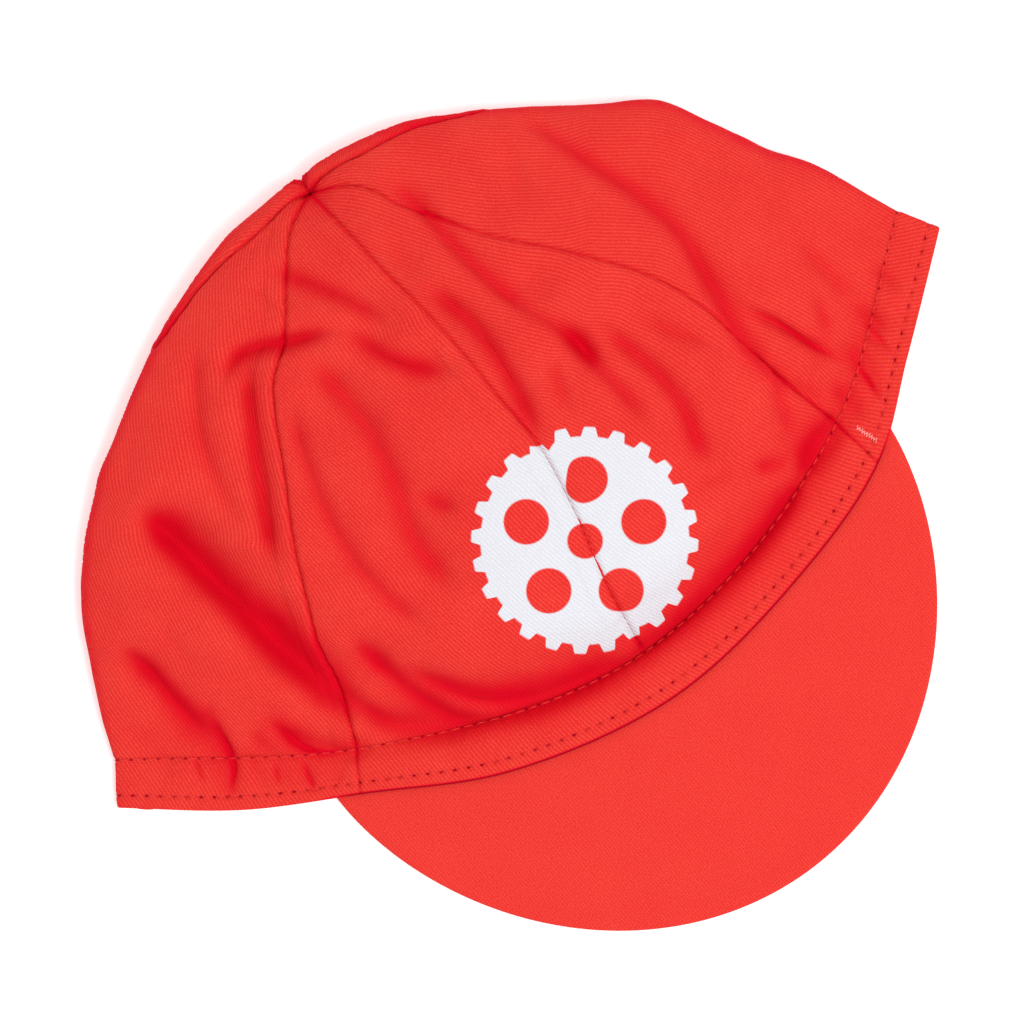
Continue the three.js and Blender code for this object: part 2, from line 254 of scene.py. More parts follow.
PROFILE_EDGE = [CORNER_HEIGHT / EDGE_HEIGHT, 0.45, 0.55, 0.68, 0.85, 1, 1.1, 1.2, 1.35]
PROFILE_PUFF = [0, 0.24, 0.6, 0.82, 1, 1, 0.76, 0.43, 0]
PUFF_ROUNDNESS = 2.4
END_ROUNDNESS = 12  # how suddenly the hem closes at its corners
LOOP_REACH = 0.1  # share of the hem by each corner over which it keeps the corner's height
BAND_FADE = 6  # how soon the band's height fades out up the crown
FOLDS_END = 0.1  # share of the crown's height by the apex over which the folds fade out

# Valleys that the slack cloth has fallen into: how deep each is at most, how soon the cloth rises
# again on the left and on the right of its line, and the line's plan, all in millimetres.
FOLDS = [
    (8.0, 4.2, 2.8, [
        (-79, 60), (-75.5, 50), (-73, 36), (-70.5, 22), (-68.5, 8), (-66, -3), (-64, -12), (-62, -18),
    ]),
    (3.4, 3.2, 2.6, [(-68, 26), (-66, 12), (-64, -2), (-62.5, -12), (-60, -20)]),
    (3.8, 1.5, 1.3, [(-62, -5), (-60.5, -14), (-57, -22), (-50, -28), (-41, -31.5), (-33, -36)]),
    (5.2, 1.4, 3.4, [(-103, 36), (-99, 26), (-97.5, 12), (-97, 2), (-98, -6)]),
    (1.8, 1.0, 1.6, [(-87, 11), (-92, 7), (-94.5, 1), (-97, -7), (-101, -12.5)]),
    (3.2, 1.5, 1.3, [(-81.5, 1), (-80, -9), (-76, -17), (-69, -22.5), (-62, -25)]),
    (1.1, 1.2, 1.2, [(-86.5, -2), (-86, -12)]),
    (3.4, 3.0, 1.8, [(-31, 75), (-36, 69), (-42, 59), (-49, 46), (-55, 33), (-60, 23)]),
    (3.2, 1.3, 2.2, [(-45, 66), (-41, 71.5), (-35, 74), (-28, 72), (-21, 68.8), (-14, 66), (-7, 64)]),
    (3.4, 2.2, 2.8, [(-13, 69), (-9, 61), (-6, 53), (-1, 46), (4, 42), (11, 41)]),
    (2.4, 3.0, 3.0, [(-39, 87), (-46, 77), (-53, 66), (-57, 55), (-58.5, 44), (-58, 34)]),
    (2.6, 1.9, 2.4, [(-20, 91), (-14, 83), (-8, 74), (-3, 64), (1, 53)]),
    (3.6, 4.2, 3.4, [(-22, 68), (-20.5, 54), (-19.5, 40), (-22, 26), (-26, 11), (-25, -8)]),
    (2.6, 2.8, 2.6, [(-30, 61), (-35, 48), (-39, 34), (-41, 18), (-39, 2), (-34, -12)]),
    (5.0, 1.6, 3.2, [(-53, 5), (-51, -6), (-48.5, -17), (-44, -29), (-40, -35)]),
    (2.4, 4.4, 4.0, [(-59, 3), (-55, -11), (-50, -24)]),
    (3.8, 1.6, 1.6, [(-47, -8), (-43, -18), (-37, -27), (-29, -34), (-20, -38)]),
    (3.0, 2.4, 1.6, [(-36, -30), (-26, -35.5), (-14, -39), (2, -41.5)]),
    (0.8, 1.5, 1.5, [(-26, 94), (-16, 94), (-6, 93)]),
    (1.2, 2.4, 2.4, [(-82, 58), (-75, 66), (-66, 74), (-57, 79)]),
    (1.0, 1.8, 1.8, [(-25, 89), (-22, 82), (-24, 75)]),
    (2.2, 2.0, 2.0, [(-21, 22), (-16, 16), (-12, 10)]),
    (1.0, 2.0, 2.0, [(-116, 19), (-108, 10), (-101, 3)]),
    (0.6, 1.6, 1.6, [(-108, 25), (-102, 17)]),
    (1.2, 3.0, 3.0, [(-90, 36), (-89, 24), (-87, 12)]),
    (2.7, 1.6, 2.2, [(11, 66), (14, 56), (16.5, 45), (16.5, 34), (15, 23), (12.5, 10)]),
    (1.4, 3.0, 3.0, [(8, 80), (12, 69), (14, 59)]),
    (2.6, 4.6, 1.1, [(18, 92), (22, 78), (23.5, 66), (25.5, 54), (28.5, 44), (32, 35)]),
    (2.3, 2.4, 1.4, [(27, 46), (31.5, 37), (34.5, 29), (35.5, 20), (37, 9), (38.5, -3)]),
    (2.6, 2.0, 1.8, [(33, 36), (34.5, 29), (35.5, 18)]),
    (1.3, 4.0, 4.0, [(36, 55), (35, 46), (38, 38)]),
    (1.7, 1.8, 1.8, [(28, 34), (25.5, 25), (22, 12)]),
    (3.0, 2.4, 2.2, [(40, 34), (43, 24), (46, 13), (47, 3), (45, -8), (43, -20)]),
    (1.6, 1.4, 1.8, [(47, 31), (53, 21), (60, 10), (64, 2)]),
    (2.7, 3.0, 1.7, [
        (54, 88), (58.5, 74), (63.5, 61), (68.5, 48), (71, 36), (70, 22), (68.5, 8), (70, -6), (74, -18),
    ]),
    (1.0, 3.8, 3.8, [(71, 36), (70, 22), (70, 8), (72, -6)]),
    (2.0, 1.1, 1.4, [(70, 17), (76, 7), (81, -3), (88.5, -15.5)]),
    (1.2, 1.0, 1.0, [(88.5, -14), (89.5, -20), (89, -28)]),
    (1.3, 1.3, 1.3, [(90, 10), (89, 1), (85, -10)]),
    (1.6, 1.7, 1.7, [(94, 24), (95, 12), (97, 1), (101, -7)]),
    (0.9, 0.9, 0.9, [(91, -8), (95.5, -14.5), (99, -20)]),
    (1.6, 1.3, 1.3, [(72, -3), (67.5, -12), (64.5, -23)]),
    (1.0, 1.2, 1.2, [(71, -7), (74.5, -14), (77, -22)]),
    (1.4, 2.2, 0.9, [(-2, -42.5), (15, -42), (30, -39.5), (45, -37), (57, -33.5), (64, -28)]),
    (4.2, 1.8, 1.5, [(58, -31), (66, -27.5), (72, -26), (79, -21)]),
    (1.8, 1.4, 1.6, [(49, -21), (56, -23.5), (63, -28)]),
    (1.4, 1.8, 1.8, [(34, -16), (43, -18.5), (52, -21)]),
    (1.5, 3.4, 3.4, [(49, 84), (47, 73), (41, 61)]),
    (0.7, 3.0, 3.0, [(73, 62), (82, 52), (91, 38)]),
    (0.4, 1.5, 1.5, [(-112, 12), (-109, 6), (-110, -4)]),
    (2.4, 1.0, 2.2, [(-94, 2), (-96.5, -8), (-99, -12), (-101.5, -18)]),
    (1.2, 1.3, 1.3, [(-90, -4), (-91, -12), (-93, -20)]),
    (1.5, 1.0, 1.8, [(-86, -6), (-85.5, -13), (-88, -22)]),
    (2.4, 1.0, 1.8, [(-79, -8), (-80, -16), (-83, -26)]),
    (1.8, 1.0, 1.2, [(-76, -18), (-76, -28)]),
    (1.6, 6.0, 1.2, [(-62, -16), (-48, -29), (-28, -39), (-6, -43), (18, -42.5), (44, -38), (66, -28)]),
    (1.8, 1.3, 1.4, [(88, -8), (90, -16), (88, -24)]),
    (1.5, 1.3, 1.3, [(96, 0), (98, -8), (99, -16)]),
    (1.2, 1.3, 1.3, [(106, 4), (107, -2), (108, -9)]),
    (1.5, 1.2, 1.4, [(80, -14), (82, -22), (82, -30)]),
]
GATHERS = [  # sharp little creases where the elastic gathers the casing, given in the same way
    (2.0, 0.35, 0.5, [(-92.5, 6), (-93, 1), (-94, -4), (-96, -9), (-99, -12.4), (-100, -16)]),
    (1.1, 0.35, 0.4, [(-102, 2), (-102.6, -2), (-103.4, -5), (-104.6, -9)]),
    (1.8, 0.35, 0.6, [(-81, -4), (-80, -9), (-78.8, -13.8), (-76, -17.6), (-72.5, -19.7), (-68, -21)]),
    (1.3, 0.35, 0.4, [(-80.6, -15), (-81.3, -19), (-82.1, -22.4), (-83, -27)]),
    (0.9, 0.35, 0.35, [(-86.5, -12), (-88, -16), (-89.6, -19.5)]),
    (1.2, 0.3, 0.45, [(73, 12), (77.7, 5.4), (82.6, -6.6), (88.5, -15.6)]),
    (1.3, 0.35, 0.4, [(88.5, -13.5), (88.7, -20), (88.2, -28)]),
    (0.8, 0.35, 0.4, [(95, -6), (97, -13), (97.5, -19)]),
]
GATHER_CREASE = 0.35
FOLD_STEPS = 24
FOLD_MARGIN = 6  # how many times its reach a fold is followed to each side
FOLD_TAPER = 14.0  # distance over which a fold fades out at each end
SHORT_TAPER = 0.45  # share of a short fold's length that is used instead
FOLD_GAIN = 1.45
FOLD_SPREAD = 1.3
FOLD_JOIN = 1.2  # 1 where folds that meet add up, and more where the deeper one hides the other
CREASE = 1.2  # how far the bottom of a fold is rounded
DEEP_CREASE = 0.22  # the least share of a fold's depth that is rounded
CROWN_LOWEST = 2.8  # the height at which a deep fold comes to rest on the lower side


def through(knots, values, x):
    """The smooth curve through values at knots, read at x. Each value may itself be an array."""
    knots = np.asarray(knots, float)
    values = np.stack([np.broadcast_to(v, np.shape(x)) for v in values]).astype(float)
    widths = np.diff(knots)
    chords = np.diff(values, axis=0) / widths.reshape(-1, *[1] * np.ndim(x))
    slopes = np.empty_like(values)
    slopes[0], slopes[-1] = chords[0], chords[-1]
    for i in range(1, len(knots) - 1):
        share = widths[i] / (widths[i] + widths[i - 1])
        slopes[i] = chords[i - 1] * share + chords[i] * (1 - share)
    k = np.searchsorted(knots[1:-1], x, side="left")
    pick = lambda table, i: np.take_along_axis(table, i[None], axis=0)[0]
    u = (x - knots[k]) / widths[k]
    v = 1 - u
    return (
        pick(values, k) * v * v * (1 + 2 * u)
        + pick(slopes, k) * widths[k] * u * v * v
        + pick(values, k + 1) * u * u * (1 + 2 * v)
        - pick(slopes, k + 1) * widths[k] * v * u * u
    )


def route(places, steps=60):
    """A smooth line through places, to be asked for the point at a share of its length."""
    p = np.array(places, float)
    p = np.vstack([2 * p[0] - p[1], p, 2 * p[-1] - p[-2]])
    fine = []
    u = np.linspace(0, 1, steps, endpoint=False)[:, None]
    for a, b, c, d in zip(p, p[1:], p[2:], p[3:]):
        before, here, after = (max(np.linalg.norm(e) ** 0.5, 1e-4) for e in (b - a, c - b, d - c))
        start = ((b - a) / before - (c - a) / (before + here) + (c - b) / here) * here
        end = ((c - b) / here - (d - b) / (here + after) + (d - c) / after) * here
        bend, twist = 3 * (c - b) - 2 * start - end, 2 * (b - c) + start + end
        fine.append(b + start * u + bend * u**2 + twist * u**3)
    fine = np.vstack([*fine, p[-2:-1]])
    lengths = np.append(0, np.cumsum(np.linalg.norm(np.diff(fine, axis=0), axis=1)))
    lengths /= lengths[-1]
    return lambda share: [np.interp(share, lengths, fine[:, axis]) for axis in (0, 1)]


along = {name: route(places) for name, places in LINES.items()}
along_front_hem = route(FRONT_HEM)


def smoothstep(x, low=0.0, high=1.0):
    t = np.clip((x - low) / (high - low), 0, 1)
    return t * t * (3 - 2 * t)


def fold_depth(x, y, folds=FOLDS, least_crease=CREASE):
    """How far the folds press the cloth down at each place of the plan."""
    total = np.zeros(np.shape(x))
    for depth, left_reach, right_reach, places in folds:
        line = np.stack(route(places)(np.linspace(0, 1, FOLD_STEPS + 1)), -1)
        margin = FOLD_MARGIN * max(left_reach, right_reach)
        low, high = line.min(axis=0) - margin, line.max(axis=0) + margin
        near = (x > low[0]) & (x < high[0]) & (y > low[1]) & (y < high[1])
        if not near.any():
            continue
        px, py = x[near], y[near]
        nearest = np.full(np.shape(px), np.inf)
        share, side = np.zeros(np.shape(px)), np.zeros(np.shape(px))
        for i, (a, b) in enumerate(zip(line, line[1:])):
            run = b - a
            u = np.clip(((px - a[0]) * run[0] + (py - a[1]) * run[1]) / (run @ run), 0, 1)
            off_x, off_y = px - a[0] - u * run[0], py - a[1] - u * run[1]
            distance = np.hypot(off_x, off_y)
            closer = distance < nearest
            nearest = np.where(closer, distance, nearest)
            share = np.where(closer, (i + u) / FOLD_STEPS, share)
            side = np.where(closer, run[0] * off_y - run[1] * off_x, side)
        reach = FOLD_SPREAD * np.where(side > 0, left_reach, right_reach)
        crease = max(least_crease, DEEP_CREASE * depth)
        slope_away = np.exp(-(np.hypot(nearest, crease) - crease) / reach)
        length = np.linalg.norm(np.diff(line, axis=0), axis=1).sum()
        to_end = np.minimum(share, 1 - share) * length
        taper = smoothstep(to_end, 0, min(FOLD_TAPER, SHORT_TAPER * length))
        total[near] += (FOLD_GAIN * depth * taper * slope_away) ** FOLD_JOIN
    return total ** (1 / FOLD_JOIN)


def arch_at(x):
    return PEAK_ARCH * np.maximum(0, 1 - ((x - PEAK_OFFSET) / (PEAK_WIDTH / 2)) ** 2)


def soft_end(around):
    return np.sqrt(np.maximum(0, 1 - np.abs(around) ** END_ROUNDNESS))


def band_rise(x, around):
    on_peak = BAND_ON_PEAK + arch_at(x) - CORNER_HEIGHT
    share = smoothstep(1 - np.abs(around), LOOP_REACH, 1 - SIDE_SEAM)
    return (CORNER_LOOP + (on_peak - CORNER_LOOP) * share) * soft_end(around)


def lower_height(x, y, edges, edge_z, rise):
    """Height of the lower side, which turns up into the folded edges and lifts by the apex."""
    layer = CLOTH_WALL / 2 + (BAND_WALL - CLOTH_WALL) / 2 * np.maximum(0, 1 - rise / HEM_RISE)
    radius = edge_z - layer
    inset = np.minimum(radius, np.min([np.hypot(x - ex, y - ey) for ex, ey in edges], axis=0))
    drop = np.sqrt(radius**2 - (radius - inset) ** 2)
    return edge_z - drop * (1 - smoothstep(rise, 1 - APEX_LIFT, 1))


def pressed_down(height, depth):
    """The height of cloth that a fold presses down, which stops on the lower side."""
    room = np.maximum(height - CROWN_LOWEST, 0.01)
    return height - depth / (1 + (depth / room) ** 3) ** (1 / 3)


# The front panels stand up steeply from the band before they lean back over the head's hollow.
FOOT_HEIGHT = 6.0
FOOT_REACH = 4.2
FOOT_FADE = 24.0
FOOT_START = (-64, -30)
FOOT_END = (56, 74)
CROWN_RUN = 145.0


def foot_rise(x, rise):
    strength = smoothstep(x, *FOOT_START) * (1 - smoothstep(x, *FOOT_END))
    climb = rise * CROWN_RUN
    return FOOT_HEIGHT * strength * (1 - np.exp(-climb / FOOT_REACH)) * np.exp(-climb / FOOT_FADE)


def crown_point(around, rise):
    """The middle of the crown's cloth. around is 0 at the front seam, 1 at the folded edge and 2 at
    the rear seam, negative on the left, and rise is 0 at the band and 1 at the apex."""
    left, right = along["left_edge"](rise), along["right_edge"](rise)
    rear = along["rear_seam"](rise)
    edge_z = EDGE_HEIGHT * through(PROFILE_RISE, PROFILE_EDGE, rise)
    across = np.sign(around) * (2 - np.abs(around))
    below = np.abs(around) > 1
    low = [through([-1, 0, 1], [a, b, c], np.clip(across, -1, 1)) for a, b, c in zip(left, rear, right)]
    knots = [-1, -SIDE_SEAM, 0, SIDE_SEAM, 1]
    seams = [along[name](rise) for name in ("left_seam", "front_seam", "right_seam")]
    inside = np.clip(around, -1, 1)
    high = [through(knots, [a, *b, c], inside) for a, b, c in zip(left, zip(*seams), right)]
    puff = CROWN_LOFT * through(PROFILE_RISE, PROFILE_PUFF, rise)
    arc = np.sqrt(np.maximum(0, 1 - np.abs(inside) ** PUFF_ROUNDNESS))
    fade = np.minimum(1, (1 - rise) / FOLDS_END) * soft_end(inside)
    top = edge_z + puff * arc + band_rise(high[0], inside) * (1 - rise) ** BAND_FADE
    top = top + foot_rise(high[0], rise) * fade
    top = pressed_down(top, fold_depth(*high) * fade)
    bottom = lower_height(*low, [left, right], edge_z, rise)
    both = zip([*low, bottom], [*high, top])
    return np.stack([np.where(below, under, over) for under, over in both], -1)


PEEP = 0.8  # the rear hem's slope by the left corner, where it peeps out under the front one
PEEP_START = 4
PEEP_END = (5, 16)


def band_point(around, up):
    """The middle of the hem's band and casing. up is 0 at the hem's edge and 1 at the crown."""
    turned = np.where(around > 2, around - 4, around)
    crown = crown_point(turned, np.zeros_like(up))
    side = np.sign(turned)
    across = side * (2 - np.abs(turned))
    below = np.abs(turned) > 1
    low_hem = [
        through([-1, 0, 1], values, np.clip(across, -1, 1))
        for values in ((-HALF_WIDTH, 0, HALF_WIDTH), (0, -REAR_SAG, 0))
    ]
    from_corner = low_hem[0] + HALF_WIDTH
    peeping = (1 - smoothstep(from_corner, *PEEP_END)) * smoothstep(from_corner, 0, PEEP_START)
    low_hem[1] = low_hem[1] - PEEP * peeping * from_corner
    high_hem = along_front_hem((np.clip(turned, -1, 1) + 1) / 2)
    x = np.where(below, low_hem[0], high_hem[0])
    y = np.where(below, low_hem[1], high_hem[1])
    x, y = x + (crown[..., 0] - x) * up, y + (crown[..., 1] - y) * up
    corner = crown_point(side, np.zeros_like(up))
    edge = (side * HALF_WIDTH * (1 - up) + corner[..., 0] * up, corner[..., 1] * up)
    bottom = lower_height(x, y, [edge], np.full(np.shape(x), CORNER_HEIGHT), np.zeros_like(up))
    inside = np.clip(turned, -1, 1)
    top = pressed_down(CORNER_HEIGHT + band_rise(x, inside), fold_depth(x, y) * soft_end(inside))
    return np.stack([x, y, np.where(below, bottom, top)], -1)


# Cloth deep in a fold looks a fuller red, because most light reaches it by way of other red cloth.
# This shade is painted into the cloth's colour. How much open sky each place sees is read from
# a map of the cap's upper side, one millimetre a cell.
MAP_CORNER = (-135.0, -120.0)
MAP_CELLS = (271, 236)
MAP_SAMPLES = (560, 300)
STEEPEST_FALL = -9.0
SKY_WAYS = 8
SKY_STEPS = (1, 2, 3, 4, 6, 8, 11, 15, 20)


def sky_map():
    heights = np.zeros(MAP_CELLS)
    around, rise = (np.linspace(low, 1, count) for low, count in zip((-1, 0), MAP_SAMPLES))
    around, rise = np.meshgrid(around, rise)
    round_band = around[::4]
    up = np.linspace(0, 1, len(round_band))[:, None] + 0 * round_band
    for points in (crown_point(around, rise), band_point(round_band, up)):
        cell = np.rint(points[..., :2] - MAP_CORNER).astype(int).reshape(-1, 2)
        np.maximum.at(heights, (cell[:, 0], cell[:, 1]), points[..., 2].ravel())
    spread = np.max([np.roll(heights, (i, j), (0, 1)) for i in (-1, 0, 1) for j in (-1, 0, 1)], axis=0)
    heights = np.where(heights > 0, heights, spread)
    seen = np.zeros(MAP_CELLS)
    for way in range(SKY_WAYS):
        turn = math.pi * way / SKY_WAYS
        bend = np.zeros(MAP_CELLS)
        for side in (1, -1):
            steepest = np.full(MAP_CELLS, STEEPEST_FALL)
            for step in SKY_STEPS:
                shift = (round(side * step * math.cos(turn)), round(side * step * math.sin(turn)))
                rise_to = np.roll(heights, shift, (0, 1)) - heights
                steepest = np.maximum(steepest, rise_to / math.hypot(*shift))
            bend += steepest
        seen += 1 / (1 + np.maximum(bend, 0) ** 2) / SKY_WAYS
    for axis in (0, 1, 0, 1):
        seen = (np.roll(seen, 1, axis) + 2 * seen + np.roll(seen, -1, axis)) / 4
    return seen


sky = sky_map()


def sky_at(points):
    """The open sky over each point, from 0 to 1, softened over two cells."""
    place = np.clip(points[:, :2] - MAP_CORNER, 1, np.array(MAP_CELLS) - 3)
    cell = place.astype(int)
    u, v = (place - cell).T
    i, j = cell.T
    low = sky[i, j] * (1 - u) + sky[i + 1, j] * u
    high = sky[i, j + 1] * (1 - u) + sky[i + 1, j + 1] * u
    return low * (1 - v) + high * v


def unit(vectors):
    return vectors / np.maximum(np.linalg.norm(vectors, axis=-1, keepdims=True), 1e-9)


def normals_of(points):
    """Outward normals of a grid of points whose rows run up the cap and columns round it."""
    return unit(np.cross(np.gradient(points, axis=1), np.gradient(points, axis=0)))


def lengths_across(points):
    steps = np.linalg.norm(np.diff(points, axis=1), axis=-1)
    return np.concatenate([np.zeros((len(points), 1)), np.cumsum(steps, axis=1)], axis=1)


def crowded(count, ends):
    """Shares from 0 to 1 that stand closer together at both ends."""
    t = np.linspace(0, 1, count)
    return t - ends * np.sin(2 * math.pi * t) / (2 * math.pi)


def bell(offset, width):
    return np.exp(-((offset / width) ** 2))


def ripples(points, size, seed):
    """Soft chance unevenness of cloth, between -1 and 1, at the places of a grid."""
    flat = points.reshape(-1, 3) / size + seed
    return np.array([noise.noise(p) for p in flat]).reshape(points.shape[:2])


def make_piece(name, points, faces, maps, materials, face_material, node, painted_shade=0.0):
    """A finished piece of the cap: its mesh in the frame's metres, and its UV maps in mm."""
    mesh = bpy.data.meshes.new(name)
    placed = (points + np.array([*HEM_LINE, 0])) * MM
    placed[:, 2] = np.maximum(placed[:, 2], 0)
    mesh.from_pydata(placed.tolist(), [], faces.tolist())
    corners = np.empty(len(mesh.loops), np.int32)
    mesh.loops.foreach_get("vertex_index", corners)
    for map_name, places in maps.items():
        layer = mesh.uv_layers.new(name=map_name)
        layer.data.foreach_set("uv", places[corners].astype(np.float32).ravel())
    # painted shade: the shade given for seams, gathers and edges is taken off the open sky
    open_sky = mesh.attributes.new("open_sky", "FLOAT", "POINT")
    open_sky.data.foreach_set("value", (sky_at(points) - painted_shade).astype(np.float32))
    for material in materials:
        mesh.materials.append(material)
    mesh.polygons.foreach_set("material_index", face_material.astype(np.int32))
    mesh.polygons.foreach_set("use_smooth", np.ones(len(faces), bool))
    mesh.update()
    piece = new_object(name, mesh)
    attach(piece, "root")
    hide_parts(node)


def turned_cloth(u, v, degrees):
    """Places on the cloth, turned so that the twill's ribs lean this far from upright."""
    turn = math.radians(degrees)
    return np.stack(
        [u * math.cos(turn) + v * math.sin(turn), v * math.cos(turn) - u * math.sin(turn)], -1
    ).reshape(-1, 2)


def grid_faces(rows, columns, offset=0, flip=False):
    j, i = np.meshgrid(np.arange(rows - 1), np.arange(columns - 1), indexing="ij")
    a = (offset + j * columns + i).ravel()
    quads = np.stack([a, a + 1, a + columns + 1, a + columns], -1)
    return quads[:, ::-1] if flip else quads


def rim_faces(rows, columns):
    """The walls that join a grid to a second one of the same size laid behind it."""
    second = rows * columns
    bottom = np.arange(columns)
    right = np.arange(rows) * columns + columns - 1
    top = (rows - 1) * columns + np.arange(columns)[::-1]
    left = np.arange(rows)[::-1] * columns
    loop = np.concatenate([bottom[:-1], right[:-1], top[:-1], left[:-1]])
    after = np.roll(loop, -1)
    return np.stack([after, loop, loop + second, after + second], -1)


# Cotton twill: steep diagonal ribs of thread, each a row of short floats, dyed through.
TWILL_PITCH = 0.9
# Painted shade: cloth that sees less open sky than this range is coloured a deeper fold red.
SKY_RANGE = (0.39, 1.0)
LIT_RED = (0.76, 0.061, 0.040, 1)
DEEP_RED = (0.60, 0.014, 0.016, 1)
FOLD_SHADE_RED = (0.63, 0.000, 0.012, 1)
# Painted shade: a dark groove red for cloth that sees less open sky than this, and for needle holes.
GROOVE_RANGE = (-0.35, 0.15)
GROOVE_SHADE_RED = (0.30, 0.0, 0.01, 1)
RIB_SWAY = 0.8
RIB_WANDER = 0.8
FLOAT_LENGTH = 0.8  # in pitches of the ribs
FLOAT_DEPTH = 0.3
WEAVE_TONE = 0.48
FUZZ_TONE = 1.5
TONE_BASE = 0.55
CLOTH_ROUGHNESS = 0.92
CLOTH_SHINE = 0.08
WEAVE_RELIEF = 0.8
WEAVE_DEPTH = 0.00016


def twill_material(
    name, pitch=TWILL_PITCH, ribs=1.0, lit=LIT_RED, mottle=0.4,
    folded=True, printed=False, stitched=False,
):
    """Twill whose ribs run along the second axis of the cloth map, both of whose axes are in mm."""
    made, shader, place = new_material(name)
    cloth = place.node("ShaderNodeUVMap", {}, uv_map="cloth")
    u = cloth.part("X") + cloth.noise(0.05) * RIB_SWAY
    v = cloth.part("Y")
    speck = cloth.noise(1.5, 3.0)
    fuzz = cloth.noise(3.6)
    rib = (u / pitch + speck * RIB_WANDER).wave()
    floats = (v / (pitch * FLOAT_LENGTH) + u / (pitch * 2) + speck * RIB_WANDER).wave()
    weave = rib * (1 - FLOAT_DEPTH + FLOAT_DEPTH * floats) * ribs + (1 - ribs) * speck
    tone = weave * WEAVE_TONE + fuzz * FUZZ_TONE + cloth.noise(0.07, 5.0) * mottle
    red = (tone - TONE_BASE - mottle * 0.5).step(0.0, 1.0).blend(DEEP_RED, lit)
    # painted shade: a deeper red where the cloth sees little open sky, and a dark red in tight grooves
    if folded:
        open_sky = place.node("ShaderNodeAttribute", {}, output="Fac", attribute_name="open_sky")
        red = open_sky.step(*SKY_RANGE).blend(FOLD_SHADE_RED, red)
        red = open_sky.step(*GROOVE_RANGE).blend(GROOVE_SHADE_RED, red)
    if printed:
        red = printed_over(place, rib, fuzz, red)
    if stitched:
        # painted shade in the needle holes
        red = needle_holes(place, speck).blend(red, GROOVE_SHADE_RED)
    connect(red, shader.inputs["Base Color"])
    connect(CLOTH_ROUGHNESS - rib * 0.1, shader.inputs["Roughness"])
    shader.inputs["Specular IOR Level"].default_value = CLOTH_SHINE
    connect((weave + fuzz * 0.5).bump(WEAVE_RELIEF, WEAVE_DEPTH), shader.inputs["Normal"])
    return made


# The print on the two front panels: a plain white chainring, pressed on to the finished cloth.
PRINT_CENTRE = (8.0, -12.5)
PRINT_TEETH = 24
PRINT_RADIUS = 28.0
PRINT_TOOTH = 2.3
PRINT_HOLES = 5
PRINT_HOLE_AT = 15.2
PRINT_HOLE = 5.6
PRINT_BORE = 4.4
PRINT_HOLE_TURN = 0.3
PRINT_WHITE = (0.66, 0.67, 0.71, 1)
PRINT_SHADE = (0.60, 0.61, 0.66, 1)
PRINT_COVER = 0.98
PRINT_EDGE = 0.25
SEAM_LINE = (4.5, 26.0, -0.03)  # the front seam from the print's centre: a point of it and its slope
SEAM_PULL = 2.2  # how far the cloth swallowed by the seam draws the print's top down
PULL_WIDTH = 2.6
HEM_LIFT = 1.4  # how far the print's bottom is drawn up at the dip in the cloth there
LIFT_AT = -4.0
LIFT_WIDTH = 3.0
LIFT_FADE = (-28.0, -12.0)


def printed_over(place, rib, fuzz, red):
    x = place.part("X") / MM - HEM_LINE[0] - PRINT_CENTRE[0]
    y = place.part("Y") / MM - HEM_LINE[1] - PRINT_CENTRE[1]
    off_seam = (x - SEAM_LINE[0] + (y - SEAM_LINE[1]) * SEAM_LINE[2]) / PULL_WIDTH
    pull = off_seam.math("EXPONENT", off_seam * off_seam * -1.0)
    y = y + pull * y.step(0.0, 24.0) * SEAM_PULL
    low = (x - LIFT_AT) / LIFT_WIDTH
    y = y - low.math("EXPONENT", low * low * -1.0) * (1 - y.step(*LIFT_FADE)) * HEM_LIFT
    radius = (x * x + y * y) ** 0.5 + (fuzz - 0.5) * 0.5
    angle = y.math("ARCTAN2", y, x)
    tooth = (angle * (PRINT_TEETH / (2 * math.pi))).wave().step(0.25, 0.75)
    rim = PRINT_RADIUS - PRINT_TOOTH + tooth * PRINT_TOOTH
    ring = 1 - (radius - rim).step(-PRINT_EDGE, PRINT_EDGE)
    half_turn = math.pi / PRINT_HOLES
    turned = angle.math("WRAP", angle + PRINT_HOLE_TURN, half_turn, -half_turn)
    hole_x = radius * turned.math("COSINE", turned) - PRINT_HOLE_AT
    hole_y = radius * turned.math("SINE", turned)
    hole = ((hole_x * hole_x + hole_y * hole_y) ** 0.5 - PRINT_HOLE).step(-PRINT_EDGE, PRINT_EDGE)
    bore = (radius - PRINT_BORE).step(-PRINT_EDGE, PRINT_EDGE)
    return (ring * hole * bore * PRINT_COVER).blend(red, rib.blend(PRINT_SHADE, PRINT_WHITE))


crown_cloth = twill_material("crown_twill")
front_cloth = twill_material("front_twill", printed=True)
inner_cloth = twill_material("inner_twill")

JOINT_OUT = 0.35  # how far the outer face stands off the cloth's middle at the hem's upper stitches
SEAM_SINK = 0.9  # how deep the cloth dips into a seam
# Painted shade along each seam, taken off the open sky that sets the cloth's colour
SEAM_SHADE = 0.3
SEAM_DIP = 0.85  # how far from the seam it starts to dip
SEAM_SHADE_REACH = 0.6
APEX_SINK = 0.3  # share of that depth at the apex, where the seams' ends meet closely
APEX_NEAR = (1, 9)
ALLOWANCE = 5.0  # width of the turned edges that lie under one side of a seam
ALLOWANCE_SOFT = 0.9
ALLOWANCE_LIFT = 0.38
PUCKER = 0.16  # height of the little waves along a seam, which its stitches draw up
PUCKER_PITCH = 5.3
PUCKER_REACH = 2.5
UNEVENNESS = ((0.9, 15.0, 3.1), (0.16, 5.5, 7.7))  # height, size and seed of the cloth's ripples
PRESSED = (2.0, 4.0, 0.15)  # the height below which ripples are flattened, over which, and how far
GATHER_DEEP = 0.5  # how much of a gather's depth shows in the cloth itself
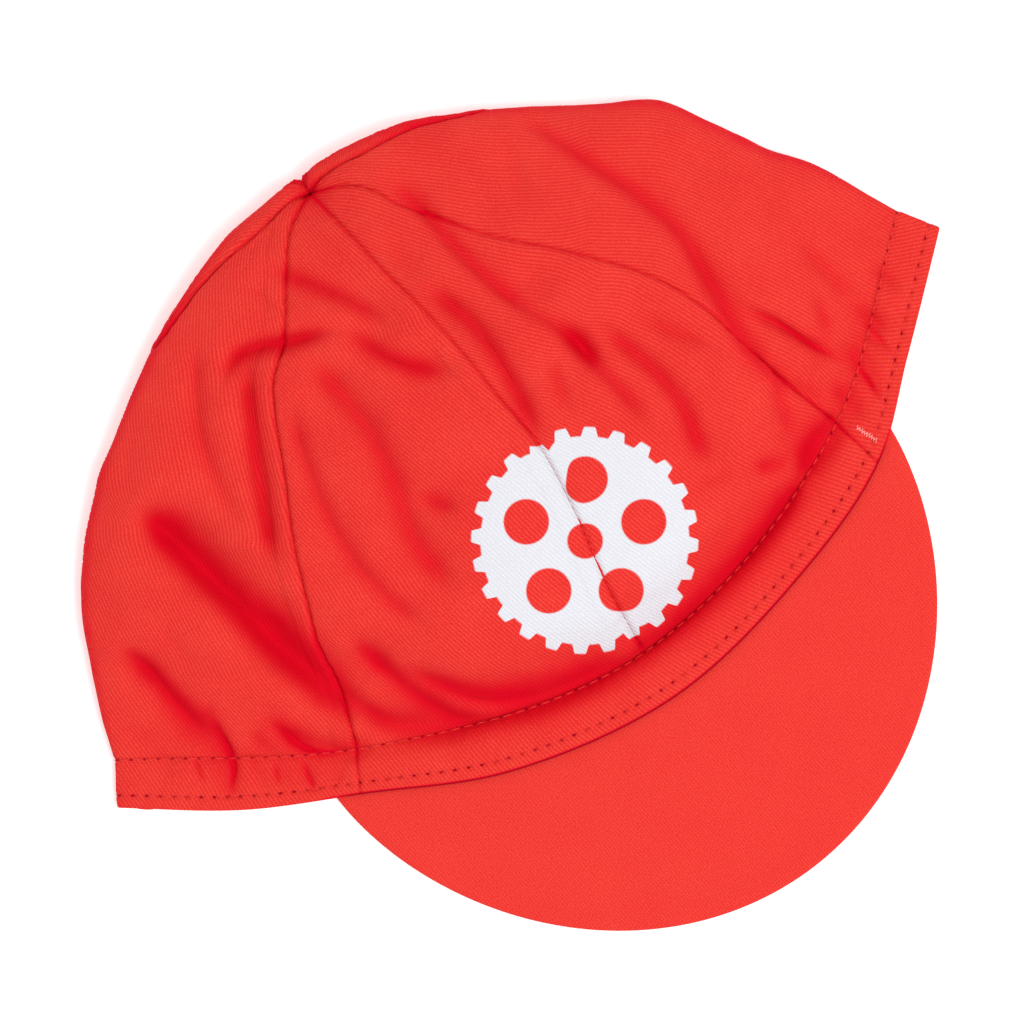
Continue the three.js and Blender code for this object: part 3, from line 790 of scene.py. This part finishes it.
# Painted shade in the gathers' creases, taken off the open sky for each unit of depth
GATHER_SHADE = 0.17
HEM_DIP = 1.1
HEM_BLEND = 1.6
HEM_TOP = 0.93
OUTER = 0.5
INNER = 0.45
INNER_SINK = 0.4

PANELS = [  # name, where its two seams run, columns, the seams with allowances under it, twill's turn
    ("front_left", -SIDE_SEAM, 0, 120, 0, 1, 25),
    ("front_right", 0, SIDE_SEAM, 120, 0, 1, 16),
    ("side_left", "left", -SIDE_SEAM, 190, 0, 1, 30),
    ("side_right", SIDE_SEAM, "right", 190, 0, 0, -6),
    ("back_left", -2, "left", 90, 1, 1, 20),
    ("back_right", "right", 2, 90, 1, 0, 30),
]
PANEL_ROWS = 230
ROW_CROWDING = 0.45
COLUMN_CROWDING = 0.6
APEX_HOLE = 0.25 / 147


def seam_at(seam, rise):
    """Where a seam runs round the crown: at one place all the way up, or as a rear seam does."""
    if seam in REAR_SEAMS:
        return through(*REAR_SEAMS[seam], rise) * (-1 if seam == "left" else 1)
    return seam + 0 * rise


for name, first, last, columns, first_lift, last_lift, turn in PANELS:
    rises = crowded(PANEL_ROWS, ROW_CROWDING) * (1 - APEX_HOLE)
    shares = crowded(columns, COLUMN_CROWDING)
    rise = np.repeat(rises[:, None], columns, axis=1)
    around = seam_at(first, rise) * (1 - shares) + seam_at(last, rise) * shares
    edge = np.sign(around[0, columns // 2])
    nearest = np.abs(around - edge).argmin(axis=1)
    for j in np.flatnonzero((nearest > 0) & (nearest < columns - 1)):
        around[j, nearest[j]] = edge  # one place of each row stands right on the folded edge
    beyond = [2 * around[:, :1] - around[:, 1:2], around, 2 * around[:, -1:] - around[:, -2:-1]]
    middle = crown_point(np.hstack(beyond), np.hstack([rise[:, :1], rise, rise[:, :1]]))
    own_normal = normals_of(middle)[:, 1:-1]  # worked out across the seams, so that panels meet there
    middle = middle[:, 1:-1]
    run = lengths_across(middle)
    off_first, off_last = run, run[:, -1:] - run
    climb = lengths_across(middle.transpose(1, 0, 2)).T
    below = np.array([[HEM_TOP], [1.0]]) + 0 * around[:1]
    hem_normal = normals_of(band_point(np.repeat(around[:1], 2, axis=0), below))[:1]
    from_hem = smoothstep(climb, 0, HEM_BLEND)[..., None]
    normal = unit(hem_normal * (1 - from_hem) + own_normal * from_hem)
    sink = SEAM_SINK * (bell(off_first, SEAM_DIP) + bell(off_last, SEAM_DIP))
    sink *= APEX_SINK + (1 - APEX_SINK) * smoothstep((1 - rise) * CROWN_RUN, *APEX_NEAR)
    turned_under = (ALLOWANCE - ALLOWANCE_SOFT, ALLOWANCE + ALLOWANCE_SOFT)
    lift = ALLOWANCE_LIFT * (
        first_lift * (1 - smoothstep(off_first, *turned_under))
        + last_lift * (1 - smoothstep(off_last, *turned_under))
    )
    pucker = PUCKER * np.sin(climb * (2 * math.pi / PUCKER_PITCH) + np.sin(climb * 0.31) * 2)
    pucker *= np.exp(-off_first / PUCKER_REACH) + np.exp(-off_last / PUCKER_REACH)
    gathers = fold_depth(middle[..., 0], middle[..., 1], GATHERS, GATHER_CREASE) * (np.abs(around) < 1)
    rough = sum(height * ripples(middle, size, seed) for height, size, seed in UNEVENNESS)
    on_floor = np.clip((middle[..., 2] - PRESSED[0]) / PRESSED[1], PRESSED[2], 1)
    stand = OUTER - sink + lift + (pucker + rough) * on_floor - gathers * GATHER_DEEP
    stand = JOINT_OUT + (stand - JOINT_OUT) * smoothstep(climb, 0, HEM_DIP)
    outer = middle + normal * stand[..., None]
    inner = middle + normal * (-INNER - sink * INNER_SINK)[..., None]
    points = np.vstack([outer.reshape(-1, 3), inner.reshape(-1, 3)])
    back_faces = grid_faces(PANEL_ROWS, columns, PANEL_ROWS * columns, flip=True)
    faces = np.vstack(
        [grid_faces(PANEL_ROWS, columns), back_faces, rim_faces(PANEL_ROWS, columns)]
    )
    centred = run - run[:, columns // 2, None]
    mid_climb = np.repeat(climb[:, columns // 2, None], columns, axis=1)
    uv = turned_cloth(centred, mid_climb, turn)
    cloths = [front_cloth if "front" in name else crown_cloth, inner_cloth]
    inside = np.arange(len(faces)) >= (PANEL_ROWS - 1) * (columns - 1)
    # painted shade along both seams and in the gathers
    painted_shade = SEAM_SHADE * (bell(off_first, SEAM_SHADE_REACH) + bell(off_last, SEAM_SHADE_REACH))
    painted_shade = (painted_shade + GATHER_SHADE * gathers).ravel()
    make_piece(
        name + "_cloth", points, faces, {"cloth": np.vstack([uv, uv])}, cloths, inside,
        "panel_" + name, np.append(painted_shade, painted_shade),
    )

# Hem
# The crown's lower edge is turned in and stitched twice. In front it makes a flat band over the
# peak's root; round the sides and the back it is a casing, gathered by the elastic drawn through it.
HEM_ROUND = 0.5
HEM_TURN = 30  # degrees by which the twill's ribs lean from upright
HEM_COLUMN = 0.36
HEM_ROWS = 40
HEM_ARC = 7
HEM_OUTER = 0.6
HEM_INNER = 0.9
HEM_RIPPLES = (0.2, 9.0, 5.5)  # height, size and seed
BAND_SWELL = 0.3  # the turned cloth's edge lies inside the band, up to its upper part
BAND_SWELL_END = (8.5, 12)
CASING_SWELL = 0.4  # the elastic swells the casing between its rows of stitches
ELASTIC_AT = 8.4
ELASTIC_REACH = 3.2
ELASTIC_END = (4, 16)
CASING_WAVE = (0.32, 0.4)  # height of the gathers' waves all along, and what is added behind
ROW_DIP = 0.28
HOLE_DIP = 0.3
ROW_SWELL = 0.12
JOINT_DIP = 0.35
EDGE_REACH = 2.8
CROWN_REACH = 1.6
EDGE_DROP = 0.45  # how far the hem's front edge is pressed down on to the peak
# Painted shadow: a dark line along the hem's front edge, where it lies on the peak
EDGE_SHADE = 1.4
STITCH_ROWS = (3.4, BAND_WIDTH - 0.35)
STITCH_PITCH = 3.4
HOLE_LONG = 0.52
HOLE_WIDE = 0.34
THREAD_LENGTH = 2.3
THREAD_WIDTH = 0.36
THREAD_CHANCE = 0.15  # by how much the stitches differ in length


def needle_holes(place, speck):
    """Painted shade in the holes the needle left along both stitch rows: 1 in them, 0 beside them."""
    hem = place.node("ShaderNodeUVMap", {}, uv_map="hem")
    u, v = hem.part("X"), hem.part("Y")
    off_hole = (u.math("PINGPONG", u, STITCH_PITCH / 2) + (speck - 0.5) * 0.3) / HOLE_LONG
    off_rows = [v.math("ABSOLUTE", v - row) for row in STITCH_ROWS]
    off_row = v.math("MINIMUM", *off_rows) / HOLE_WIDE
    # how dark each hole's painted shade is, at random
    depth = hem.noise(0.23, 1.0).step(0.3, 0.6) * 0.75 + 0.25
    return (1 - (off_hole * off_hole + off_row * off_row).step(0.3, 1.5)) * depth


def hem_strip(name, start, end):
    columns = int(HALF_WIDTH * (1.35 if end < 1 else 3.1) / HEM_COLUMN)
    round_cap = start + (end - start) * np.linspace(0, 1, columns)
    around, up = np.meshgrid(round_cap, np.linspace(1, HEM_ROUND / BAND_WIDTH, HEM_ROWS))
    turned = np.abs(np.where(around > 2, around - 4, around))
    middle = band_point(around, up)
    off_edge = up * BAND_WIDTH
    in_front = 1 - smoothstep(turned, SIDE_SEAM, SIDE_SEAM + 0.1)
    middle[..., 2] -= EDGE_DROP * in_front * (1 - smoothstep(off_edge, 0.5, 7))
    normal = -normals_of(middle)
    outward = unit(np.gradient(middle, axis=0)[-1])
    run = lengths_across(middle)[HEM_ROWS // 2] + 0 * off_edge
    off_end = np.minimum(run, run[:, -1:] - run)
    at_corner = bell(turned - 1, 0.12)
    gathered = smoothstep(off_end, *ELASTIC_END) * (1 - in_front)
    wave = 0.5 * np.sin(run * 0.83 + 1.3 * np.sin(run * 0.19)) + 0.5 * np.sin(run * 0.53 + 0.7)
    stand = HEM_OUTER + BAND_SWELL * in_front * (1 - smoothstep(off_edge, *BAND_SWELL_END))
    stand += CASING_SWELL * bell(off_edge - ELASTIC_AT, ELASTIC_REACH) * (1 - at_corner)
    wave_height = CASING_WAVE[0] + CASING_WAVE[1] * smoothstep(turned, 1, 1.5)
    stand += wave * wave_height * gathered * (1 - at_corner)
    stand += HEM_RIPPLES[0] * ripples(middle, *HEM_RIPPLES[1:])
    gathers = fold_depth(middle[..., 0], middle[..., 1], GATHERS, GATHER_CREASE) * (turned < 1)
    stand -= gathers * GATHER_DEEP * smoothstep(off_edge, 0.5, 3)
    off_hole = np.abs((run + STITCH_PITCH / 2) % STITCH_PITCH - STITCH_PITCH / 2)
    for row in STITCH_ROWS:
        off_row = off_edge - row
        between_holes = np.cos(2 * math.pi * off_hole / STITCH_PITCH + math.pi)
        stand -= ROW_DIP * bell(off_row, 0.7) + HOLE_DIP * bell(off_hole, 0.5) * bell(off_row, 0.4)
        stand += ROW_SWELL * between_holes * bell(off_row, 1.5)
    stand -= JOINT_DIP * bell(off_end, SEAM_SHADE_REACH)
    to_edge = 1 - smoothstep(off_edge, HEM_ROUND, EDGE_REACH)
    stand = stand * (1 - to_edge) + HEM_ROUND * to_edge
    to_crown = smoothstep(off_edge, BAND_WIDTH - CROWN_REACH, BAND_WIDTH)
    stand = stand * (1 - to_crown) + JOINT_OUT * to_crown
    outer = middle + normal * stand[..., None]
    arc = np.linspace(0, math.pi, HEM_ARC + 2)[1:-1]
    ring = [middle[-1] + HEM_ROUND * (normal[-1] * math.cos(a) + outward * math.sin(a)) for a in arc]
    inner = middle - normal * (HEM_INNER - (HEM_INNER - HEM_ROUND) * to_edge)[..., None]
    loops = np.concatenate([outer, np.array(ring), inner[::-1]])
    count = len(loops)
    height = np.concatenate([off_edge[:, 0], [0.0] * len(arc), off_edge[::-1, 0]])[:, None] + 0 * run[:1]
    length = run[:1] + 0 * height
    maps = {
        "cloth": turned_cloth(length, height, HEM_TURN),
        "hem": np.stack([length, height], -1).reshape(-1, 2),
    }
    faces = np.vstack([grid_faces(count, columns, flip=True), cap_faces(count, columns)])
    outside = (np.arange(count) < HEM_ROWS + HEM_ARC)[:, None]
    # painted shade in the gathers
    painted_shade = GATHER_SHADE * np.vstack([gathers, np.repeat(gathers[-1:], HEM_ARC, axis=0), 0 * gathers])
    # painted shade where the strip's ends meet
    painted_shade += SEAM_SHADE * bell(off_end[:1], SEAM_SHADE_REACH)
    # painted shadow along the front edge, where it lies on the peak
    painted_shade += EDGE_SHADE * in_front[:1] * outside * bell(height, HEM_ROUND)
    make_piece(
        name + "_cloth", loops.reshape(-1, 3), faces, maps, [hem_cloth], np.zeros(len(faces)),
        name, painted_shade.ravel(),
    )
    return outer, normal, run[0]


def cap_faces(count, columns):
    """What closes a strip whose rows run round its section: both its ends and its open side."""
    quads = []
    first, last = np.arange(count) * columns, np.arange(count) * columns + columns - 1
    for k in range(count // 2):
        quads.append([first[count - 1 - k], first[count - 2 - k], first[k + 1], first[k]])
        quads.append([last[k], last[k + 1], last[count - 2 - k], last[count - 1 - k]])
    back = (count - 1) * columns
    quads += [[back + c, back + c + 1, c + 1, c][::-1] for c in range(columns - 1)]
    return np.array(quads)


hem_cloth = twill_material("hem_twill", stitched=True)
strips = {
    "front_band": hem_strip("front_band", -SIDE_SEAM, SIDE_SEAM),
    "rear_casing": hem_strip("rear_casing", SIDE_SEAM, 4 - SIDE_SEAM),
}

# Stitches
# Red cotton thread, drawn down into the cloth at each needle hole. Two rows hold the turned hem, and a
# dense bar of paler thread locks the end of the elastic where the casing meets the band.
stitch_tree = bpy.data.node_groups.new("stitches", "GeometryNodeTree")
STITCH_INPUTS = {
    "Places": "Geometry", "Length": "Float", "Width": "Float",
    "Unevenness": "Float", "Seed": "Int", "Thread": "Material",
}
for label, kind in STITCH_INPUTS.items():
    stitch_tree.interface.new_socket(label, in_out="INPUT", socket_type="NodeSocket" + kind)
stitch_tree.interface.new_socket("Stitches", in_out="OUTPUT", socket_type="NodeSocketGeometry")
given = {socket.name: Shade(socket) for socket in stitch_tree.nodes.new("NodeGroupInput").outputs}
least, most = 1 - given["Unevenness"], 1 + given["Unevenness"]
limits = {"Seed": given["Seed"], 2: least, 3: most}
chance = given["Seed"].node("FunctionNodeRandomValue", limits, output=1, data_type="FLOAT")
axes = {"X": given["Length"] * chance, "Y": given["Width"], "Z": given["Width"] * 0.8}
size = chance.node("ShaderNodeCombineXYZ", axes)
ways = {
    label: chance.node("GeometryNodeInputNamedAttribute", {"Name": label}, data_type="FLOAT_VECTOR")
    for label in ("onward", "up")
}
lying = chance.node("FunctionNodeAlignRotationToVector", {"Vector": ways["onward"]}, axis="X")
facing_up = chance.node(
    "FunctionNodeAlignRotationToVector", {"Rotation": lying, "Vector": ways["up"]},
    axis="Z", pivot_axis="X",
)
thread = chance.node("GeometryNodeMeshUVSphere", {"Segments": 6, "Rings": 6, "Radius": 0.5})
laid = chance.node(
    "GeometryNodeInstanceOnPoints",
    {"Points": given["Places"], "Instance": thread, "Rotation": facing_up, "Scale": size},
)
laid = chance.node("GeometryNodeRealizeInstances", {"Geometry": laid})
laid = chance.node("GeometryNodeSetShadeSmooth", {"Geometry": laid})
laid = chance.node("GeometryNodeSetMaterial", {"Geometry": laid, "Material": given["Thread"]})
connect(laid, stitch_tree.nodes.new("NodeGroupOutput").inputs["Stitches"])


def thread_material(name, lit, deep):
    made, shader, place = new_material(name)
    strands = place.noise(2600.0)
    connect(strands.step(0.3, 0.7).blend(deep, lit), shader.inputs["Base Color"])
    connect(0.75 - strands * 0.2, shader.inputs["Roughness"])
    shader.inputs["Specular IOR Level"].default_value = 0.2
    connect(strands.bump(0.6, 0.0001), shader.inputs["Normal"])
    return made


def sew(name, places, onward, up, length, width, unevenness, seed, material):
    """A piece of many stitches: one short thread at each place, which lies along its row."""
    mesh = bpy.data.meshes.new(name)
    mesh.from_pydata(((places + np.array([*HEM_LINE, 0])) * MM).tolist(), [], [])
    for label, ways in (("onward", onward), ("up", up)):
        mesh.attributes.new(label, "FLOAT_VECTOR", "POINT").data.foreach_set("vector", ways.ravel())
    piece = new_object(name, mesh)
    sewing = piece.modifiers.new("sewing", "NODES")
    sewing.node_group = stitch_tree
    values = {
        "Length": length * MM, "Width": width * MM,
        "Unevenness": unevenness, "Seed": seed, "Thread": material,
    }
    for socket in stitch_tree.interface.items_tree:
        if socket.name in values:
            sewing[socket.identifier] = values[socket.name]
    evaluated = piece.evaluated_get(bpy.context.evaluated_depsgraph_get())
    sewn = bpy.data.meshes.new_from_object(evaluated)
    piece.modifiers.clear()
    spots = np.empty(len(sewn.vertices) * 3)
    sewn.vertices.foreach_get("co", spots)
    spots[2::3] = np.maximum(spots[2::3], 0)  # the lowest threads lie flat on the table
    sewn.vertices.foreach_set("co", spots)
    piece.data = sewn
    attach(piece, "root")


def on_strip(strip, run, off_edge):
    """Places on a hem strip's outer face, and its normals there."""
    outer, normal, runs = strip
    column = np.interp(run, runs, np.arange(len(runs)))
    i = np.minimum(column.astype(int), len(runs) - 2)
    u = (column - i)[:, None]
    j = int(round((BAND_WIDTH - off_edge) / (BAND_WIDTH - HEM_ROUND) * (HEM_ROWS - 1)))
    read = lambda grid: grid[j, i] * (1 - u) + grid[j, i + 1] * u
    return read(outer), read(normal)


red_thread = thread_material("red_thread", (0.75, 0.045, 0.036, 1), (0.60, 0.010, 0.014, 1))
pale_thread = thread_material("pale_thread", (0.86, 0.36, 0.33, 1), (0.78, 0.14, 0.12, 1))
for seed, (name, strip) in enumerate(strips.items()):
    rows = []
    for row in STITCH_ROWS:
        middles = np.arange(STITCH_PITCH / 2, strip[2][-1] - 1, STITCH_PITCH)
        places, up = on_strip(strip, middles, row)
        onward = on_strip(strip, middles + 0.4, row)[0] - on_strip(strip, middles - 0.4, row)[0]
        rows.append((places, onward, up))
    ways = [np.vstack(parts) for parts in zip(*rows)]
    sew(name + "_stitches", *ways, THREAD_LENGTH, THREAD_WIDTH, THREAD_CHANCE, seed, red_thread)

TACK_FROM = (2.9, 8.2)  # run along the casing from the right joint, and distance from the hem's edge
TACK_TO = (3.9, 2.8)
TACK_THREADS = 17
TACK_LENGTH = 1.4
TACK_WIDTH = 0.3
TACK_SLANT = 0.45
TACK_LIFT = 0.08
TACK_CHANCE = 0.4
TACK_SEED = 7
tack_run, tack_off_edge = np.linspace(TACK_FROM, TACK_TO, TACK_THREADS).T
tack = [on_strip(strips["rear_casing"], run[None], off) for run, off in zip(tack_run, tack_off_edge)]
places, up = (np.vstack(part) for part in zip(*tack))
down_bar = places[-1] - places[0]
slant = np.where(np.arange(TACK_THREADS) % 2, TACK_SLANT, -TACK_SLANT)[:, None]
ways = unit(np.cross(up, down_bar)) + slant * unit(down_bar)
places += up * TACK_LIFT
sew("bar_tack", places, ways, up, TACK_LENGTH, TACK_WIDTH, TACK_CHANCE, TACK_SEED, pale_thread)

# Peak
# A short stiff tongue between two cloths, turned and pressed at its rim, sewn in under the band.
# It is a little arched across, so its middle stands off the table and its two sides touch it.
PEAK_REACH = 54.5
TIP_OFFSET = 1.2
RIM_POWER = 1.8
PEAK_TUCK = 8.0
PEAK_COLUMNS = 300
PEAK_ROWS = 90
RIM_ARC = 10
RIM_START = 0.51  # share of the band's drop at which the rim sets out from the hem
HEM_REACH = 0.315  # how far along the hem the peak's root goes to each side, and its shift
HEM_SHIFT = 0.005
PEAK_RIDGE = 0.12  # the turned cloth's edge stands up along the rim, with a pressed line beside it
RIDGE_AT = 1.6
RIDGE_REACH = 1.3
PRESSED_LINE = 0.1
PRESSED_AT = (2.4, 5.0)
PEAK_SWELL = (0.18, 26.0, 9.4)  # height, size and seed of its wide and its small unevenness
PEAK_RIPPLE = (0.05, 7.0, 4.4)
PEAK_TURN = 6  # degrees by which its twill leans
PEAK_PITCH = 0.75
PEAK_RIBS = 0.45
PEAK_MOTTLE = 0.12
PEAK_RED = (0.77, 0.066, 0.044, 1)
rim_round = PEAK_WALL / 2

across = np.linspace(-1, 1, PEAK_COLUMNS)
across = np.sin(across * math.pi / 2) * 0.6 + across * 0.4
angle = across * (math.pi / 2)
depth = np.maximum(0, np.cos(angle)) ** (2 / RIM_POWER)
rim_top = -HEM_DROP * RIM_START
rim_x = PEAK_OFFSET + PEAK_WIDTH / 2 * np.sin(angle) + TIP_OFFSET * depth
rim = np.stack([rim_x, rim_top + (-HEM_DROP - PEAK_REACH - rim_top) * depth], -1)
hem_share = 0.5 + across * HEM_REACH + HEM_SHIFT
root = band_point(hem_share * 2 - 1, np.full(PEAK_COLUMNS, PEAK_TUCK / BAND_WIDTH))[:, :2]
tangent = unit(np.gradient(rim, axis=0))
outward = np.stack([tangent[:, 1], -tangent[:, 0]], -1)
start = rim - outward * rim_round
shares = np.linspace(0, 1, PEAK_ROWS) ** 1.6
plan = start[None] + (root - start)[None] * shares[:, None, None]
from_rim = shares[:, None] * np.linalg.norm(root - start, axis=-1)[None]
arch = arch_at(plan[..., 0]) + PEAK_WALL / 2
ridge = PEAK_RIDGE * bell(from_rim - RIDGE_AT, RIDGE_REACH)
ridge -= PRESSED_LINE * smoothstep(from_rim, *PRESSED_AT)
flat = np.dstack([plan, arch])
swell = PEAK_SWELL[0] * ripples(flat, *PEAK_SWELL[1:]) * smoothstep(from_rim, 0, 12)
swell += PEAK_RIPPLE[0] * ripples(flat, *PEAK_RIPPLE[1:])
top = np.dstack([plan, arch + rim_round + ridge + swell])
bottom = np.dstack([plan, arch - rim_round])
ring = [
    np.column_stack([start + outward * (rim_round * math.sin(a)), arch[0] + rim_round * math.cos(a)])
    for a in np.linspace(0, math.pi, RIM_ARC + 2)[1:-1]
]
loops = np.concatenate([top[::-1], np.array(ring), bottom])
count = len(loops)
uv = turned_cloth(loops[..., 0], loops[..., 1], PEAK_TURN)
faces = np.vstack([grid_faces(count, PEAK_COLUMNS, flip=True), cap_faces(count, PEAK_COLUMNS)])
peak_cloth = twill_material("peak_twill", PEAK_PITCH, PEAK_RIBS, PEAK_RED, PEAK_MOTTLE, folded=False)
make_piece(
    "peak_cover", loops.reshape(-1, 3), faces, {"cloth": uv}, [peak_cloth], np.zeros(len(faces)),
    "peak",
)
